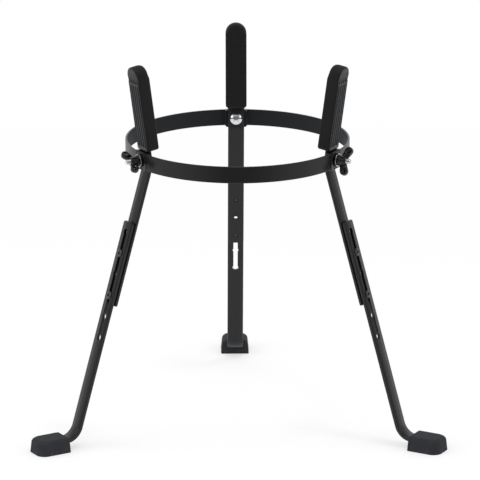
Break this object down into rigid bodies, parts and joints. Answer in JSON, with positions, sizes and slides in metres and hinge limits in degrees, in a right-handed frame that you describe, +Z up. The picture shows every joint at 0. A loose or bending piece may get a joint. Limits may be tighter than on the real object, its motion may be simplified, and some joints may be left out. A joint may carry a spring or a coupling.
{
  "type": "conga stand",
  "caption": "Height-adjustable stand for an upright hand drum: a flat steel ring with leaning rubber pads, on bent legs that slide in and out, with rubber feet.",
  "frame": {"origin": "on the floor, at the middle of the bounding box; the ring's axis is 79.4 mm from it along -Y", "axes": "+Z up; +Y towards the back leg; +X to the right, the longest extent"},
  "size_m": [0.6288, 0.5484, 0.5817],
  "materials": {
    "black_powder_coat": "satin black powder coat",
    "pad_rubber": "matt black moulded rubber, grooved outside",
    "foot_rubber": "matt dark moulded rubber",
    "chrome": "bright chrome plate",
    "zinc_steel": "bright zinc plate",
    "black_nylon": "semi-gloss moulded black plastic",
    "black_oxide": "black oxide steel"
  },
  "bodies": {
    "stand": {"back_carriage_bolt": "chrome", "back_lower_screw": "black_oxide", "back_lower_spacer": "black_nylon", "back_nylon_washer": "black_nylon", "back_pad": "pad_rubber", "back_saddle": "black_nylon", "back_upper_bar": "black_powder_coat", "back_upper_screw": "black_oxide", "back_upper_spacer": "black_nylon", "back_washer": "zinc_steel", "left_carriage_bolt": "chrome", "left_lower_screw": "black_oxide", "left_lower_spacer": "black_nylon", "left_nylon_washer": "black_nylon", "left_pad": "pad_rubber", "left_saddle": "black_nylon", "left_upper_bar": "black_powder_coat", "left_upper_screw": "black_oxide", "left_upper_spacer": "black_nylon", "left_washer": "zinc_steel", "right_carriage_bolt": "chrome", "right_lower_screw": "black_oxide", "right_lower_spacer": "black_nylon", "right_nylon_washer": "black_nylon", "right_pad": "pad_rubber", "right_saddle": "black_nylon", "right_upper_bar": "black_powder_coat", "right_upper_screw": "black_oxide", "right_upper_spacer": "black_nylon", "right_washer": "zinc_steel", "ring": "black_powder_coat"},
    "back_lower_leg": {"back_lower_bar": "black_powder_coat", "back_foot": "foot_rubber"},
    "back_nut": {"back_wing_nut": "black_nylon", "back_nut_insert": "zinc_steel"},
    "left_lower_leg": {"left_lower_bar": "black_powder_coat", "left_foot": "foot_rubber"},
    "left_nut": {"left_wing_nut": "black_nylon", "left_nut_insert": "zinc_steel"},
    "right_lower_leg": {"right_lower_bar": "black_powder_coat", "right_foot": "foot_rubber"},
    "right_nut": {"right_wing_nut": "black_nylon", "right_nut_insert": "zinc_steel"}
  },
  "joints": [
    {"name": "back_leg_slide", "type": "slide", "parent": "stand", "child": "back_lower_leg", "axis": [0, 0.289, -0.9573], "range_m": [-0.066, 0.033]},
    {"name": "left_leg_slide", "type": "slide", "parent": "stand", "child": "left_lower_leg", "axis": [-0.2503, -0.1445, -0.9573], "range_m": [-0.066, 0.033]},
    {"name": "right_leg_slide", "type": "slide", "parent": "stand", "child": "right_lower_leg", "axis": [0.2503, -0.1445, -0.9573], "range_m": [-0.066, 0.033]},
    {"name": "back_nut_turn", "type": "hinge", "parent": "stand", "child": "back_nut", "pos_m": [0, 0.09065, 0.4315], "axis": [0, 1, 0], "range_deg": [0, 450]},
    {"name": "left_nut_turn", "type": "hinge", "parent": "stand", "child": "left_nut", "pos_m": [-0.14722, -0.16435, 0.4315], "axis": [-0.866, -0.5, 0], "range_deg": [0, 450]},
    {"name": "right_nut_turn", "type": "hinge", "parent": "stand", "child": "right_nut", "pos_m": [0.14722, -0.16435, 0.4315], "axis": [0.866, -0.5, 0], "range_deg": [0, 450]}
  ]
}
